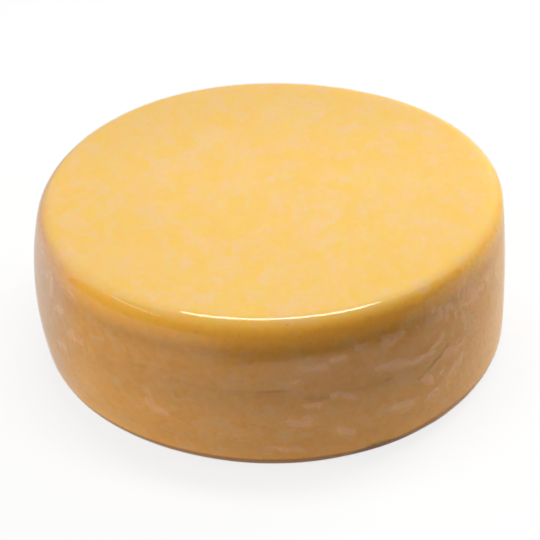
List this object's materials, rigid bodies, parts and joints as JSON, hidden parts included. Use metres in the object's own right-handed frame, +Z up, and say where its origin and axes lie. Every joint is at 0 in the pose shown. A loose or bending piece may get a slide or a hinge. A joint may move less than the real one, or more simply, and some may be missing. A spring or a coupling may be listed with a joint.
{
  "type": "wrapped cheese wheel",
  "caption": "Low round of orange-yellow hard cheese in a close clear film, with a rounded shoulder and a slightly sloping top.",
  "frame": {"origin": "on the resting surface, under the middle of the wheel's outline", "axes": "+Z up through the wheel, -Y towards the shown front, +X towards the side where the top stands higher"},
  "size_m": [0.2508, 0.25, 0.0885],
  "materials": {
    "cheese": "mottled orange-yellow cheese, satin",
    "film": "clear glossy shrink film"
  },
  "bodies": {
    "root": {"wrapped_wheel": "cheese"}
  },
  "joints": []
}
